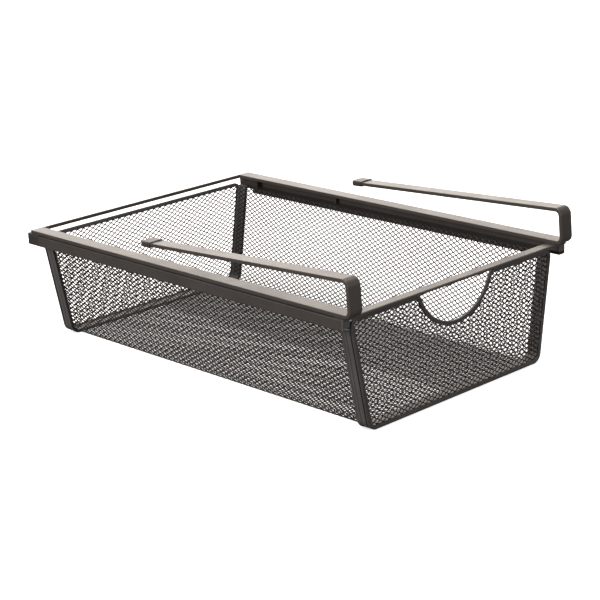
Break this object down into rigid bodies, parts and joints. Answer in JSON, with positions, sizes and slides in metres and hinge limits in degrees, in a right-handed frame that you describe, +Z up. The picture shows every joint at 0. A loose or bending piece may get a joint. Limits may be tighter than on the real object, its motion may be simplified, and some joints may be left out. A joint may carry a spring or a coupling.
{
  "type": "under-shelf sliding mesh drawer",
  "caption": "Wire-mesh drawer with a finger notch, sliding in rails under a steel carrier whose bent flat arms clip over a shelf board.",
  "frame": {"origin": "middle of the whole outline, on the level of the basket's underside", "axes": "+X to the right as seen from the front, +Y to the back along the slide, +Z up towards the shelf"},
  "size_m": [0.2364, 0.3643, 0.1176],
  "materials": {
    "carrier_steel": "satin powder coat, warm graphite",
    "frame_steel": "satin powder coat, warm graphite",
    "mesh_steel": "satin powder coat, near black",
    "black_plastic": "fine moulded grain, satin"
  },
  "bodies": {
    "carrier": {"right_arm": "carrier_steel", "left_arm": "carrier_steel", "right_arm_cap": "black_plastic", "left_arm_cap": "black_plastic", "front_crossbar": "carrier_steel", "rear_crossbar": "carrier_steel", "right_rail": "carrier_steel", "left_rail": "carrier_steel", "right_glide": "black_plastic", "left_glide": "black_plastic", "right_rail_cap": "black_plastic", "left_rail_cap": "black_plastic"},
    "drawer": {"mesh_trough": "mesh_steel", "front_mesh": "mesh_steel", "rear_mesh": "mesh_steel", "front_frame": "frame_steel", "rear_frame": "frame_steel", "front_binding": "frame_steel", "rear_binding": "frame_steel", "left_runner": "carrier_steel", "right_runner": "carrier_steel"}
  },
  "joints": [
    {"name": "drawer_slide", "type": "slide", "parent": "carrier", "child": "drawer", "axis": [0, -1, 0], "range_m": [0, 0.225]}
  ]
}
